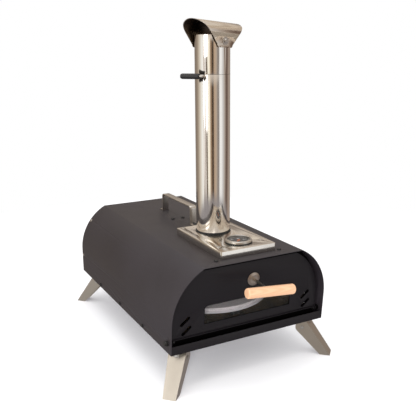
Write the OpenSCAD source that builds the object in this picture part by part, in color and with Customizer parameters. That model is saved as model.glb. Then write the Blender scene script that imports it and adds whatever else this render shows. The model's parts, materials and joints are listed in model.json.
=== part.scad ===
// Portable wood fired pizza oven: arched hood on four folding legs, drop-down front
// door, rear fuel door with ash drawer, turning stone and a lift-off chimney.
// +X is the right-hand side seen from the front, -Y is the front, +Z is up.
// The origin is on the ground, at the middle of the whole oven's outline.

/* [Body] */
// Width of the hood
body_w = 400; // [350:1:480]
// Length of the hood along its underside
body_l = 612; // [560:1:760]
// Height of the hood without its legs
body_h = 188; // [176:1:230]
// Height of the underside above the ground
ground_gap = 88; // [70:1:110]
// Thickness of the hood, tray and panel steel
sheet = 1.5; // [1:0.1:2]
// Radius of the large shoulder curve
shoulder_r = 136; // [120:1:140]
// Angle of the tight bend between roof and shoulder
shoulder_bend = 28; // [24:1:34]
// Radius of the tight bend
bend_r = 8; // [4:0.5:12]
// How far the top of the front edge leans forward
front_rake = 15; // [6:1:20]
// Height of the tray's front lip
lip_h = 19.5; // [14:0.5:22]

/* [Cooking chamber] */
// Space between hood and inner liner
wall_gap = 26; // [20:1:30]
// Thickness of the inner liner
liner_t = 1; // [0.8:0.1:1.5]
// Air space between hood and blanket
air_gap = 8; // [7:0.5:10]
// Diameter of the turning stone
stone_d = 290; // [240:1:300]
// Thickness of the stone
stone_t = 12; // [8:0.5:15]
// Height of the stone's underside above the body's underside
stone_up = 40; // [36:0.5:46]
// Distance of the stone's centre behind the front edge
stone_in = 202; // [198:1:230]
// Thickness of the floor board
board_t = 10; // [8:0.5:14]

/* [Front door] */
// Distance of the hinge line behind the front edge
hinge_in = 17; // [15:0.5:22]
// Height of the hinge line above the body's underside
hinge_up = 23; // [22:0.5:28]
// Distance of the door's face in front of its hinge line
door_lead = 2; // [1.5:0.1:2.5]
// Gap between the door's arched edge and the hood
door_gap = 9; // [2:0.5:11]
// Height of the door's bottom edge above the hinge line
door_rise = 5; // [5:0.5:12]
// Width of the window
window_w = 226; // [160:1:260]
// Height of the window
window_h = 43; // [30:1:55]
// Height of the window's sill above the hinge line
window_up = 26; // [24:1:32]
// Length of an air slot
slot_l = 29; // [20:1:34]
// Width of an air slot
slot_w = 8; // [5:0.5:10]
// Tilt of the air slots
slot_tilt = 39; // [30:1:50]
// Distance of the air slots from the middle
slot_x = 158; // [145:1:165]

/* [Handles] */
// Length of the wooden grip
grip_l = 122; // [100:1:170]
// Diameter of the wooden grip
grip_d = 23; // [20:0.5:32]
// Tilt of the wooden grip about its rod
grip_tilt = 6; // [0:1:10]
// Diameter of the grip's rod
rod_d = 6.5; // [5:0.5:9]
// Distance from the door's face to the grip's axis
rod_l = 68; // [55:1:85]
// Height of the rod above the hinge line
rod_up = 111; // [105:1:120]
// Distance of the grip's rod to the right of the middle
handle_x = 8.5; // [0:0.5:15]
// Length of the carrying handle
carry_l = 176; // [120:1:190]
// Height of the carrying handle
carry_h = 50; // [40:1:60]
// Width of the carrying handle's strap
carry_w = 18; // [14:1:30]
// Thickness of the carrying handle's strap
carry_t = 3; // [2:0.5:4]
// Distance of the carrying handle behind the front edge
carry_in = 297; // [290:1:330]
// Distance of the carrying handle to the right of the middle
carry_x = 8; // [0:0.5:12]

/* [Chimney] */
// Outside diameter of the chimney
pipe_d = 81; // [75:0.5:98]
// Wall of the chimney
pipe_wall = 1; // [0.8:0.1:1.5]
// Height of the chimney's top above the roof
pipe_h = 473; // [350:1:600]
// Length of the chimney's upper section
upper_l = 86; // [80:1:120]
// Distance of the chimney's axis behind the front edge
pipe_in = 176; // [170:1:185]
// Width of the folded base plate
plate_w = 142; // [130:1:160]
// Length of the folded base plate
plate_l = 220; // [216:1:240]
// Height of the folded base plate
plate_h = 18; // [15:0.5:24]
// Distance of the base plate behind the front edge
plate_in = 13; // [8:1:18]
// Direction of the damper shaft's handle end
damper_turn = 215; // [200:1:230]
// Diameter of the damper shaft
shaft_d = 5; // [4:0.5:6]
// Length of the rain cap's ridge
cap_l = 138; // [105:1:150]
// Height of the rain cap's ridge above the chimney's top
cap_rise = 30; // [26:1:40]
// Tilt of the rain cap about its screws
cap_tilt = 3.5; // [0:0.5:7]
// Turn of the rain cap about the chimney
cap_turn = 15; // [0:1:30]

/* [Thermometer] */
// Diameter of the thermometer's bezel
gauge_d = 60.5; // [56:0.5:70]
// Distance of the thermometer behind the front edge
gauge_in = 64; // [60:1:72]
// Distance of the thermometer to the right of the middle
gauge_x = 4; // [0:0.5:8]

/* [Legs] */
// Outward lean of the opened legs
splay = 35; // [25:1:38]
// Width of a leg at its pivot
leg_w = 40; // [34:1:48]
// Width of a leg at its foot
foot_w = 31; // [24:1:36]
// Height of the pivots below the underside
leg_drop = 20; // [19:0.5:24]
// Distance from the outer face to the pivot
leg_pivot_in = 17; // [15:0.5:17.5]
// Depth of a leg's flanges at its foot
foot_depth = 17; // [12:0.5:22]
// Distance of the pivots from the hood's sides
leg_side_in = 32; // [28:1:40]
// Distance of the front pivots from the front edge
leg_front_in = 28; // [26:1:60]
// Distance of the rear pivots from the rear edge
leg_rear_in = 48; // [26:1:80]
// Diameter of the leg bolts
leg_bolt_d = 6; // [5:0.5:8]

/* [Fire box] */
// Width inside the fire box
fire_w = 200; // [150:1:220]
// Width of the fuel opening
fuel_w = 150; // [120:1:160]
// Height of the fuel opening
fuel_h = 72; // [50:1:80]
// Height of the fuel opening's sill above the body's underside
fuel_up = 56; // [54:1:60]
// Height of the ash drawer
drawer_h = 32; // [24:1:34]
// Depth of the ash drawer
drawer_l = 200; // [150:1:210]
// Diameter of the wooden knobs
knob_d = 24; // [18:1:28]
// Length of the wooden knobs
knob_l = 26; // [20:1:34]

/* [Hidden] */
$fn = 96;

paint = [0.16, 0.15, 0.165];
dark = [0.07, 0.07, 0.075];
steel = [0.78, 0.77, 0.75];
wood = [0.93, 0.74, 0.55];
clay = [0.74, 0.71, 0.68];
rust = [0.30, 0.24, 0.18];

eps = 0.01;
far = 1000;
gap = 0.3;              // clearance between pieces that move past each other
fit = 0.05;             // radial clearance of a pin in its hole
rake = atan(front_rake / body_h);

// Places along Y, from the reach of the grip and of the fuel door's knob
rear_in = 3;            // the rear panel's face, in from the hood's rear edge
fuel_door_t = 8;        // thickness of the fuel door
door_stand = 0.5;       // space between the rear panel and the pieces that close it
grip_round = 4;          // rounding of the grip's ends
rear_reach = knob_l + fuel_door_t + door_stand - rear_in;
grip_out = (door_lead + rod_l) * cos(rake) + rod_up * sin(rake) - hinge_in;
front_reach = grip_out + grip_d / 2 + (grip_l / 2 - grip_round) * sin(grip_tilt) * sin(rake);
front_y = (front_reach - body_l - rear_reach) / 2;
back_y = front_y + body_l;
floor_z = ground_gap;
roof_z = floor_z + body_h;
rear_y = back_y - rear_in;
rear_flange = 15;

// The hood's outline: large shoulder arcs that run into tight bends
arc_end = 90 - shoulder_bend;
arc_x = body_w / 2 - shoulder_r;
bend_x = arc_x + (shoulder_r - bend_r) * cos(arc_end);
bend_z = body_h - bend_r;
arc_z = bend_z - (shoulder_r - bend_r) * sin(arc_end);

// Chamber
liner_in = sheet + wall_gap;
chamber_w = body_w - 2 * (liner_in + liner_t);
frame_back = 14;        // the front frame's face, behind the hinge line
chamber_y = front_y + hinge_in + frame_back + sheet + 1;
board_z = floor_z + sheet;
stone_y = front_y + stone_in;
stone_z = floor_z + stone_up;
fire_y = stone_y + stone_d / 2 + 16;
fire_end = rear_y - rear_flange - 1;
box_t = 1.5;
grate_z = floor_z + fuel_up - 8;
grate_t = 3;

// Chimney
pipe_y = front_y + pipe_in;
pipe_r = pipe_d / 2;
collar_r = pipe_r - pipe_wall - gap;
plate_top = roof_z + plate_h;
pipe_top = roof_z + pipe_h;
seam_z = pipe_top - upper_l;
shaft_z = seam_z - 3.5;
gauge_y = front_y + gauge_in;
gauge_r = gauge_d / 2;
face_r = gauge_r - 4.5;

// ---------- shared shapes ----------

// A slice of pie between two angles
module wedge(r, a, b) {
    m = (a + b) / 2;
    polygon([[0, 0], [r * cos(a), r * sin(a)], [r * cos(m), r * sin(m)] * 1.2,
        [r * cos(b), r * sin(b)]]);
}

// What the rounded shoulder leaves out of a square corner
module shoulder_waste(inset) {
    r = shoulder_r - inset;
    translate([arc_x, arc_z]) difference() {
        square([r + 1, body_h - arc_z + 1]);
        circle(r);
    }
    if (inset < bend_r - 0.5)
        translate([bend_x, bend_z]) difference() {
            wedge(2 * bend_r, arc_end, 90);
            circle(bend_r - inset);
        }
}

// The hood's outline, drawn in from its outside by inset
module arch(inset, low = 0) {
    half = body_w / 2 - inset;
    difference() {
        translate([-half, low]) square([2 * half, body_h - inset - low]);
        for (side = [0, 1]) mirror([side, 0]) shoulder_waste(inset);
    }
}

module arch_bar(inset, y0, y1, low = 0) {
    translate([0, y1, floor_z]) rotate([90, 0, 0]) linear_extrude(y1 - y0) arch(inset, low);
}

// The leaning frame of the front door: origin on the hinge line, Z along the door
module door_space() {
    translate([0, front_y + hinge_in, floor_z + hinge_up]) rotate([rake, 0, 0]) children();
}

// A plate in the door's plane from depth y0 to y1, drawn as X and height
module door_plate(y0, y1) {
    translate([0, y1, 0]) rotate([90, 0, 0]) linear_extrude(y1 - y0) children();
}

module at_sides() {
    for (side = [0, 1]) mirror([side, 0, 0]) children();
}

module tube(r, r_in, h) {
    difference() {
        cylinder(r = r, h = h);
        translate([0, 0, -1]) cylinder(r = r_in, h = h + 2);
    }
}

// A pan-head screw: head above Z = 0, shank below it
module screw(head_r, head_h, shank_r, shank_l) {
    rotate_extrude() polygon([[0, -shank_l], [shank_r, -shank_l], [shank_r, 0], [head_r, 0],
        [head_r, head_h * 0.55], [head_r * 0.72, head_h], [0, head_h]]);
}

module rounded_rect(w, h, r) {
    for (x = [-1, 1], y = [-1, 1])
        translate([x * (w / 2 - r), y * (h / 2 - r)]) circle(r);
    square([w - 2 * r, h], center = true);
    square([w, h - 2 * r], center = true);
}

// ---------- places of the fasteners ----------

screw_r = 2;
screw_hole = 2.2;
plate_screw_x = plate_w / 2 - 15.5;
plate_screw_ys = [front_y + plate_in + 37, front_y + plate_in + plate_l - 9];
roof_screw_y = front_y + 15;
roof_screw_x = 82;
liner_screw_x = 15;
liner_screw_y = front_y + carry_in + 77;
carry_y = front_y + carry_in;
carry_foot = 16;
carry_feet = [carry_y - carry_foot / 2, carry_y + carry_l + carry_foot / 2];
side_screw_up = 7;
side_screw_ys = [for (i = [-1:1]) (front_y + back_y) / 2 + i * body_l * 0.243];
rivet_y = rear_y - rear_flange / 2;
rivet_angle = 38;
rivet_r = 2.4;
bolt_r = 3;             // door pivot bolts

module plate_screw_places() {
    for (x = [-plate_screw_x, plate_screw_x], y = plate_screw_ys) translate([x, y, plate_top]) children();
}

module roof_screw_places() {
    for (x = [-roof_screw_x, roof_screw_x]) translate([x, roof_screw_y, roof_z]) children();
    for (x = [-liner_screw_x, liner_screw_x]) translate([x, liner_screw_y, roof_z]) children();
}

module carry_screw_places(z = roof_z) {
    for (y = carry_feet) translate([carry_x, y, z]) children();
}

module side_screw_places() {
    at_sides() for (y = side_screw_ys)
        translate([body_w / 2, y, floor_z + side_screw_up]) rotate([0, 90, 0]) children();
}

module rivet_places() {
    at_sides() {
        translate([arc_x, rivet_y, floor_z + arc_z]) rotate([0, 90 - rivet_angle, 0])
            translate([0, 0, shoulder_r]) children();
        translate([body_w / 2, rivet_y, floor_z + 50]) rotate([0, 90, 0]) children();
    }
}

// ---------- casing ----------

module outer_shell() color(paint) difference() {
    arch_bar(0, front_y - front_rake - 5, back_y);
    arch_bar(sheet, front_y - front_rake - 6, back_y + 1, -1);
    translate([0, front_y, floor_z]) rotate([rake, 0, 0])
        translate([-far / 2, -far, -far / 2]) cube(far);
    translate([0, pipe_y, roof_z - 3 * sheet]) cylinder(r = collar_r + gap, h = 6 * sheet);
    translate([gauge_x, gauge_y, roof_z - 3 * sheet]) cylinder(r = stem_r + 1, h = 6 * sheet);
    plate_screw_places() translate([0, 0, -plate_h - 10]) cylinder(r = screw_hole, h = 20);
    roof_screw_places() translate([0, 0, -10]) cylinder(r = screw_hole, h = 20);
    carry_screw_places() translate([0, 0, -10]) cylinder(r = screw_hole, h = 20);
    side_screw_places() translate([0, 0, -10]) cylinder(r = screw_hole, h = 20);
    rivet_places() translate([0, 0, -10]) cylinder(r = rivet_r + fit, h = 20);
    translate([-body_w, front_y + hinge_in, floor_z + hinge_up]) rotate([0, 90, 0])
        cylinder(r = bolt_r + 0.1, h = 2 * body_w);
}

tray_w = body_w - 2 * sheet;
tray_lip_end = rear_y - rear_flange - 2;

module base_tray() color(paint) difference() {
    union() {
        translate([-tray_w / 2, front_y, floor_z]) cube([tray_w, rear_y - front_y, sheet]);
        translate([-tray_w / 2, front_y, floor_z]) cube([tray_w, sheet, lip_h]);
        at_sides() translate([tray_w / 2 - sheet, front_y, floor_z])
            cube([sheet, tray_lip_end - front_y, lip_h - 3]);
    }
    side_screw_places() translate([0, 0, -10]) cylinder(r = screw_hole, h = 20);
}

drawer_w = fire_w - 2 * box_t - 6;
drawer_hole_w = drawer_w + 3;
drawer_z = floor_z + sheet + 4;
face_over = 8;          // how far the drawer's face laps the panel

module rear_panel() color(paint) difference() {
    arch_bar(sheet, rear_y - rear_flange, rear_y, sheet);
    arch_bar(2 * sheet, rear_y - rear_flange - 1, rear_y - sheet, 2 * sheet);
    translate([-fuel_w / 2, rear_y - 2 * sheet, floor_z + fuel_up]) cube([fuel_w, 3 * sheet, fuel_h]);
    translate([-drawer_hole_w / 2, rear_y - rear_flange - 1, drawer_z - 1.5])
        cube([drawer_hole_w, rear_flange + 2, drawer_h + 3]);
    rivet_places() translate([0, 0, -10]) cylinder(r = rivet_r + fit, h = 20);
}

module rear_panel_rivets() color(steel) rivet_places()
    screw(rivet_r * 1.9, 1.6, rivet_r, 2 * sheet + 1);

module tray_side_screws() color(dark) side_screw_places() screw(4.2, 2.6, screw_r, 8);

module roof_screws() color(dark) roof_screw_places() screw(4.6, 2.8, screw_r, 7);

// ---------- cooking chamber ----------

frame_low = 24;         // sill of the chamber's mouth above the underside

module front_frame() color(dark) door_space() translate([0, 0, -hinge_up])
    door_plate(frame_back, frame_back + sheet) difference() {
        arch(2 * sheet + 0.4, sheet + 1.2);
        arch(liner_in + liner_t, frame_low);
    }

module inner_liner() color(steel) difference() {
    arch_bar(liner_in, chamber_y + front_rake * 0.2, fire_end, sheet);
    arch_bar(liner_in + liner_t, chamber_y - front_rake, fire_end + 1, 0);
    liner_front_cut();
    translate([0, pipe_y, roof_z - liner_in - 3]) cylinder(r = collar_r + gap, h = 9);
    translate([gauge_x, gauge_y, roof_z - liner_in - 3]) cylinder(r = stem_r + 1, h = 9);
}

// Everything in front of the front frame's back
module liner_front_cut() {
    door_space() translate([-far / 2, frame_back + sheet + eps - far, -far / 2]) cube(far);
}

module insulation_blanket() color("white") difference() {
    arch_bar(sheet + air_gap, chamber_y + front_rake * 0.2, fire_end - 1, lip_h);
    arch_bar(liner_in - 0.3, chamber_y - front_rake, fire_end, 0);
    liner_front_cut();
    translate([0, pipe_y, roof_z - liner_in - 3]) cylinder(r = collar_r + 1, h = wall_gap + 9);
    translate([gauge_x, gauge_y, roof_z - liner_in - 3]) cylinder(r = stem_r + 2, h = wall_gap + 9);
}

board_y = chamber_y + 6;

module floor_board() color(rust) difference() {
    translate([-chamber_w / 2 + 1, board_y, board_z]) cube([chamber_w - 2, fire_y - board_y - 1, board_t]);
    translate([0, stone_y, board_z - 1]) cylinder(r = post_r + 0.2, h = board_t + 2);
}

// ---------- turning stone ----------

post_r = 6;
hub_r = 14;
hub_h = 10;
carrier_t = 1.5;
carrier_rim = 5;
carrier_r = stone_d / 2;
bed_r = carrier_r - carrier_t - 0.4;

// Post that the carrier turns on, standing on the tray
module stone_pivot() color(steel) translate([0, stone_y, board_z]) {
    cylinder(r = post_r, h = stone_z - board_z - carrier_t);
    translate([0, 0, board_t]) cylinder(r = hub_r + 8, h = 4);
    translate([0, 0, board_t]) cylinder(r = hub_r, h = stone_up - sheet - board_t - hub_h - gap);
}

// Shallow steel dish with a hub, which carries the stone
module stone_carrier() color(steel) translate([0, stone_y, stone_z]) difference() {
    union() {
        cylinder(r = carrier_r, h = carrier_rim);
        translate([0, 0, -hub_h]) cylinder(r = hub_r, h = hub_h);
    }
    translate([0, 0, carrier_t]) cylinder(r = carrier_r - carrier_t, h = carrier_rim);
    translate([0, 0, -hub_h - 1]) cylinder(r = post_r + fit, h = hub_h);
    for (a = [0:60:300]) rotate([0, 0, a]) translate([carrier_r * 0.6, 0, -1]) cylinder(r = 16, h = 4);
}

module pizza_stone() color(clay) translate([0, stone_y, stone_z + carrier_t]) rotate_extrude()
    polygon([[0, 0], [bed_r - 1, 0], [bed_r, 1], [bed_r, stone_t - 2.5], [bed_r - 1, stone_t - 1.5],
        [0, stone_t - 1.5]]);

tab_angle = -93;

// Folded tab under the rim, for turning the hot stone with a hook
module stone_turning_tab() color(dark) translate([0, stone_y, stone_z]) rotate([0, 0, tab_angle])
    translate([carrier_r - 14, -11, -6]) difference() {
        cube([18, 22, 6]);
        translate([-1, 3, 1.5]) cube([16, 16, 3]);
        translate([10, 11, -1]) cylinder(r = 3, h = 8);
    }

// ---------- fire box ----------

box_w = fire_w + 2 * box_t;
box_h = fuel_up + 2;

// Folded walls around the fire, open to the rear and at the top
module fire_box() color(dark) {
    difference() {
        translate([-box_w / 2, fire_y, board_z]) cube([box_w, fire_end - fire_y, box_h]);
        translate([-fire_w / 2, fire_y + box_t, board_z - 1]) cube([fire_w, far, box_h + 2]);
    }
    at_sides() {
        translate([fire_w / 2 - 5, fire_y + box_t, grate_z - 2]) cube([5, fire_end - fire_y - box_t, 2]);
        translate([drawer_w / 2 - 10, fire_y, board_z]) cube([fire_w / 2 + box_t - drawer_w / 2 + 10,
            fire_end - fire_y, drawer_z - board_z - gap]);
    }
}

bar_count = 13;
bar_w = 7;
grate_l = fire_end - fire_y - 2 * box_t - 2;
bar_pitch = (grate_l - bar_w) / (bar_count - 1);

module fire_grate() color(dark) translate([-fire_w / 2 + 1, fire_y + box_t + 1, grate_z]) {
    for (i = [0:bar_count - 1]) translate([0, i * bar_pitch, 0]) cube([fire_w - 2, bar_w, grate_t]);
    for (x = [0, (fire_w - 2 - bar_w) / 2, fire_w - 2 - bar_w]) translate([x, 0, 0]) cube([bar_w, grate_l, grate_t]);
}

module knob(d) {
    rotate([-90, 0, 0]) rotate_extrude() polygon([[0, 0], [d * 0.26, 0], [d * 0.3, d * 0.25],
        [d * 0.48, d * 0.42], [d * 0.5, d * 0.6], [d * 0.44, d * 0.85], [d * 0.3, knob_l], [0, knob_l]]);
}

// Ash drawer: open tray whose face closes its opening
module drawer_tray() color(dark) {
    translate([-drawer_w / 2, rear_y - drawer_l, drawer_z]) difference() {
        cube([drawer_w, drawer_l + 1, drawer_h]);
        translate([sheet, sheet, sheet]) cube([drawer_w - 2 * sheet, drawer_l - 2 * sheet, drawer_h]);
    }
    translate([-drawer_w / 2 - face_over, rear_y + door_stand, drawer_z])
        cube([drawer_w + 2 * face_over, sheet, drawer_h + 4]);
}

module drawer_knob() color(wood) translate([0, rear_y + door_stand + sheet, drawer_z + drawer_h / 2 + 2])
    knob(knob_d * 0.9);

// ---------- fuel door ----------

fuel_lap = 10;
fuel_door_w = fuel_w + 2 * fuel_lap;
fuel_door_h = fuel_h + fuel_lap;
fuel_door_z = floor_z + fuel_up - 2;
pin_r = 2;
knuckle_r = 4;
pin_x = -fuel_door_w / 2 - knuckle_r - 0.5;
pin_y = rear_y + knuckle_r;
knuckle_l = 22;
leaf_t = 1.2;
hinge_z = fuel_door_z + fuel_door_h / 2 - 1.5 * knuckle_l;

fuel_face_y = rear_y + door_stand + fuel_door_t;

module fuel_door_panel() color(dark) translate([-fuel_door_w / 2, rear_y + door_stand, fuel_door_z])
    difference() {
        cube([fuel_door_w, fuel_door_t, fuel_door_h]);
        translate([sheet, -1, sheet]) cube([fuel_door_w - 2 * sheet, fuel_door_t + 1 - sheet, fuel_door_h - 2 * sheet]);
    }

module knuckle(from, count) {
    translate([pin_x, pin_y, hinge_z + from * knuckle_l + gap / 2]) difference() {
        cylinder(r = knuckle_r - 0.2, h = count * knuckle_l - gap);
        translate([0, 0, -1]) cylinder(r = pin_r + fit, h = count * knuckle_l + 2);
    }
}

// Moving leaf: the middle knuckle and a tongue on the door's face
module fuel_door_leaf() color(steel) {
    knuckle(1, 1);
    translate([pin_x + pin_r + 1, fuel_face_y, hinge_z + knuckle_l + gap / 2])
        cube([24, leaf_t, knuckle_l - gap]);
    translate([pin_x + pin_r + 1, pin_y, hinge_z + knuckle_l + gap / 2])
        cube([leaf_t, fuel_face_y + leaf_t - pin_y, knuckle_l - gap]);
}

module fuel_hinge_leaf() color(steel) for (i = [0, 2]) {
    knuckle(i, 1);
    translate([pin_x - 20, rear_y, hinge_z + i * knuckle_l + gap / 2]) difference() {
        cube([20, leaf_t, knuckle_l - gap]);
        translate([20, knuckle_r, -1]) cylinder(r = knuckle_r - 0.3, h = knuckle_l + 2);
    }
}

module fuel_hinge_pin() color(steel) translate([pin_x, pin_y, hinge_z - 1.5])
    union() {
        cylinder(r = pin_r, h = 3 * knuckle_l + 3);
        translate([0, 0, 3 * knuckle_l + 1.6]) cylinder(r = pin_r + 1, h = 1.4);
    }

module fuel_door_knob() color(wood)
    translate([fuel_w / 2 - 8, fuel_face_y, fuel_door_z + fuel_door_h / 2]) knob(knob_d);

// ---------- front door ----------

door_sheet = 1.5;
ear_x = body_w / 2 - 10;
ear_top = 60;
ear_deep = 13;
face_y = -door_lead;
face_back = -door_lead + door_sheet;
hem = 5;

module window_outline(grow = 0) {
    r = 8 + grow;
    translate([0, window_up + window_h / 2]) {
        translate([0, -r / 2]) square([window_w + 2 * grow, window_h + 2 * grow - r], center = true);
        square([window_w + 2 * grow - 2 * r, window_h + 2 * grow], center = true);
        for (s = [-1, 1]) translate([s * (window_w / 2 + grow - r), window_h / 2 + grow - r]) circle(r);
    }
}

module slot_outline() {
    for (s = [-0.5, 0.5]) translate([s * (slot_l - slot_w), 0]) circle(slot_w / 2);
    square([slot_l - slot_w, slot_w], center = true);
}

slot_ups = [20, 43];
slot_shifts = [1.8, -1.8];

module slot_outlines() {
    for (s = [-1, 1], i = [0, 1])
        translate([s * slot_x + slot_shifts[i], slot_ups[i]]) rotate(slot_tilt) slot_outline();
}

door_screw_places = [for (x = [-130, 130]) for (z = [window_up - 8, window_up + window_h + 12]) [x, z]];

module door_outline() {
    difference() {
        union() {
            translate([0, -hinge_up]) arch(sheet + door_gap);
            translate([-ear_x, 0]) square([2 * ear_x, ear_top]);
        }
        translate([-far / 2, door_rise - far]) square(far);
        for (s = [-1, 1])
            translate([s > 0 ? ear_x : -far - ear_x, -1]) square([far, ear_top + 1]);
    }
}

module door_panel() color(paint) door_space() {
    difference() {
        union() {
            door_plate(face_y, face_back) door_outline();
            translate([-ear_x, face_y - hem, door_rise]) cube([2 * ear_x, hem + door_sheet, door_sheet]);
        }
        door_plate(face_y - 1, face_back + 1) {
            window_outline();
            slot_outlines();
            translate([handle_x, rod_up]) circle(rod_d / 2 + 0.1);
        }
    }
    at_sides() translate([ear_x - door_sheet, 0, 0]) difference() {
        rotate([90, 0, 90]) linear_extrude(door_sheet) ear_outline();
        translate([-1, 0, 0]) rotate([0, 90, 0]) cylinder(r = bolt_r + fit, h = door_sheet + 2);
    }
}

// Side flange of the door with its pivot eye
module ear_outline() {
    polygon([[face_back, door_rise], [ear_deep, door_rise], [ear_deep, ear_top - 12], [face_back + 2, ear_top],
        [face_back, ear_top]]);
    circle(7);
    polygon([[-1, 0], [7, 0], [ear_deep, door_rise + 1], [face_back, door_rise + 1]]);
}

inner_x = ear_x - 14;
inner_deep = 10;
glass_t = 3;
pan_y = face_back + glass_t + 0.2;

// Heat shield behind the glass, a shallow pan with the same openings
module door_inner_panel() color(steel) door_space() difference() {
    union() {
        door_plate(pan_y, pan_y + 1) inner_outline(0);
        door_plate(pan_y, pan_y + inner_deep - glass_t) difference() {
            inner_outline(0);
            inner_outline(1);
        }
    }
    door_plate(pan_y - 1, pan_y + 2) {
        window_outline(2);
        slot_outlines();
        translate([handle_x, rod_up]) circle(8);
        for (p = door_screw_places) translate(p) circle(screw_r + 0.1);
    }
}

module inner_outline(inset) intersection() {
    translate([0, -hinge_up]) arch(sheet + door_gap + 6 + inset);
    translate([-inner_x + inset, door_rise + 4 + inset]) square([2 * (inner_x - inset), far]);
}

module window_glass() color([0.7, 0.75, 0.75, 0.35]) door_space()
    door_plate(face_back, face_back + glass_t) translate([0, window_up + window_h / 2])
        square([window_w + 16, window_h + 14], center = true);

// Screws into studs behind the door's face, with their heads inside
module door_panel_screws() color(dark) door_space() for (p = door_screw_places)
    translate([p[0], pan_y + 1, p[1]]) rotate([-90, 0, 0]) screw(3.6, 2, screw_r, pan_y + 1 - face_back);

module door_pivot_bolts() color(dark) at_sides()
    translate([body_w / 2, front_y + hinge_in, floor_z + hinge_up]) rotate([0, 90, 0]) {
        screw(6, 8, bolt_r, body_w / 2 - ear_x + door_sheet + 4.5);
        translate([0, 0, ear_x - door_sheet - gap - 4 - body_w / 2]) tube(bolt_r + 1.2, bolt_r, 4);
    }

module door_pivot_spacers() color(steel) at_sides()
    translate([ear_x + gap, front_y + hinge_in, floor_z + hinge_up]) rotate([0, 90, 0])
        tube(6, bolt_r + fit, body_w / 2 - sheet - ear_x - gap);

module handle_escutcheon() color(steel) door_space() translate([handle_x, face_y, rod_up]) rotate([90, 0, 0])
    difference() {
        rotate_extrude() polygon([[0, 0], [15.5, 0], [15.5, 0.8], [10, 3], [0, 3]]);
        translate([0, 0, -1]) cylinder(r = rod_d / 2, h = 6);
    }

module handle_rod() color(steel) door_space() translate([handle_x, face_y, rod_up]) {
    rotate([90, 0, 0]) translate([0, 0, -7]) cylinder(r = rod_d / 2, h = rod_l + 7);
    rotate([-90, 0, 0]) translate([0, 0, door_sheet]) cylinder(r = 6.5, h = 4.5);
}

module wooden_grip() color(wood) door_space() translate([handle_x, face_y - rod_l, rod_up]) difference() {
    rotate([0, 90 + grip_tilt, 0]) translate([0, 0, -grip_l / 2]) rotate_extrude() union() {
        square([grip_d / 2 - grip_round, grip_l]);
        translate([0, grip_round]) square([grip_d / 2, grip_l - 2 * grip_round]);
        for (z = [grip_round, grip_l - grip_round]) translate([grip_d / 2 - grip_round, z]) circle(grip_round);
    }
    rotate([90, 0, 0]) translate([0, 0, -grip_d]) cylinder(r = rod_d / 2, h = grip_d);
}

// ---------- chimney ----------

collar_flange = 8;

module flue_collar() color(steel) translate([0, pipe_y, 0]) {
    translate([0, 0, roof_z - liner_in - liner_t - 6]) tube(collar_r, collar_r - 1.2, plate_top - roof_z + liner_in + liner_t + 46);
    translate([0, 0, plate_top - 3 - plate_t]) tube(collar_r + collar_flange, collar_r, 3);
}

plate_t = 1.2;

module chimney_base_plate() color(steel) difference() {
    translate([0, front_y + plate_in + plate_l / 2, roof_z]) difference() {
        linear_extrude(plate_h) rounded_rect(plate_w, plate_l, 3);
        translate([0, 0, -1]) linear_extrude(plate_h - plate_t + 1)
            rounded_rect(plate_w - 2 * plate_t, plate_l - 2 * plate_t, 2);
    }
    translate([0, pipe_y, roof_z]) cylinder(r = collar_r + gap / 2, h = 2 * plate_h);
    translate([gauge_x, gauge_y, roof_z]) cylinder(r = cup_r + 0.2, h = 2 * plate_h);
    plate_screw_places() translate([0, 0, -5]) cylinder(r = screw_hole, h = 10);
}

module base_plate_screws() color(steel) plate_screw_places() screw(4.4, 1.2, screw_r, plate_h + 5);

module pipe_gasket() color(dark) translate([0, pipe_y, plate_top]) tube(pipe_r + 1.5, pipe_r + gap, 1.8);

module damper_bore() {
    translate([0, 0, shaft_z]) rotate([0, 90, damper_turn]) translate([0, 0, -pipe_d])
        cylinder(r = shaft_d / 2 + fit, h = 2 * pipe_d);
}

module cap_screw_bore() {
    translate([0, 0, cap_screw_z]) rotate([90, 0, cap_turn]) translate([0, 0, -pipe_d])
        cylinder(r = screw_hole, h = 2 * pipe_d);
}

module lower_pipe() color(steel) translate([0, pipe_y, 0]) difference() {
    translate([0, 0, plate_top]) tube(pipe_r, pipe_r - pipe_wall, seam_z - plate_top);
    damper_bore();
}

skirt_l = 22;
skirt_r = pipe_r - pipe_wall - 0.1;

// Upper section with a reduced skirt that plugs into the lower one
module upper_pipe() color(steel) translate([0, pipe_y, 0]) difference() {
    rotate_extrude() polygon([[pipe_r, seam_z], [pipe_r, pipe_top], [pipe_r - pipe_wall, pipe_top],
        [pipe_r - pipe_wall, seam_z + 2], [skirt_r - 0.8, seam_z], [skirt_r - 0.8, seam_z - skirt_l],
        [skirt_r, seam_z - skirt_l], [skirt_r, seam_z]]);
    damper_bore();
    cap_screw_bore();
}

crank_out = pipe_r + 13;    // distance of the crank from the chimney's axis
crank_l = 50;

// The damper's own frame: origin on the chimney's axis, X along the shaft
module damper_space() {
    translate([0, pipe_y, shaft_z]) rotate([0, 0, damper_turn]) children();
}

module damper_shaft() color(steel) damper_space() {
    rotate([0, 90, 0]) translate([0, 0, -pipe_r - 5]) cylinder(r = shaft_d / 2, h = pipe_r + 5 + crank_out);
    translate([crank_out, 0, 0]) sphere(d = shaft_d);
    translate([crank_out, 0, 0]) rotate([90, 0, 0]) cylinder(r = shaft_d / 2, h = crank_l + 3);
}

module damper_disc() color(steel) damper_space() translate([0, 0, shaft_d / 2]) {
    cylinder(r = pipe_r - pipe_wall - 3.5, h = 1.2);
    for (x = [-16, 16]) translate([x, 0, 1.2]) cylinder(r = 3.5, h = 2);
}

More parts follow.
